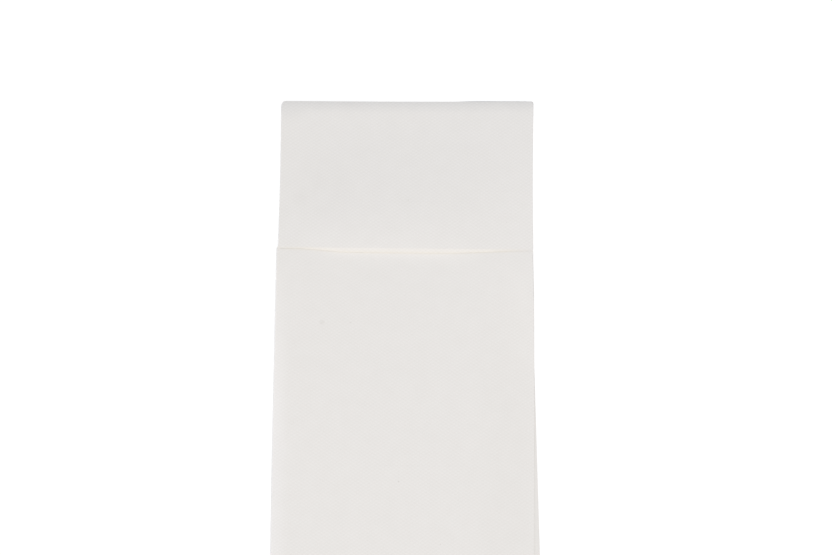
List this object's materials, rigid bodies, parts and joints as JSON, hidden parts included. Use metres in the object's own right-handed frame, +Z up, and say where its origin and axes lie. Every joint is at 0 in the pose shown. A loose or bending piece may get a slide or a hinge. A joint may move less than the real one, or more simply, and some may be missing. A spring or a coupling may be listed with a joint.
{
  "type": "paper napkin",
  "caption": "White embossed paper napkin folded flat into a tall rectangle, with a pocket for cutlery in its front.",
  "frame": {"origin": "middle of the folded panel's underside, on the table that the napkin lies on", "axes": "+X to the right across the napkin, +Y towards its top edge, +Z up from the table, out of the pocket's front"},
  "size_m": [0.1024, 0.1958, 0.0044],
  "materials": {
    "paper": "matte"
  },
  "bodies": {
    "root": {"napkin": "paper"}
  },
  "joints": []
}
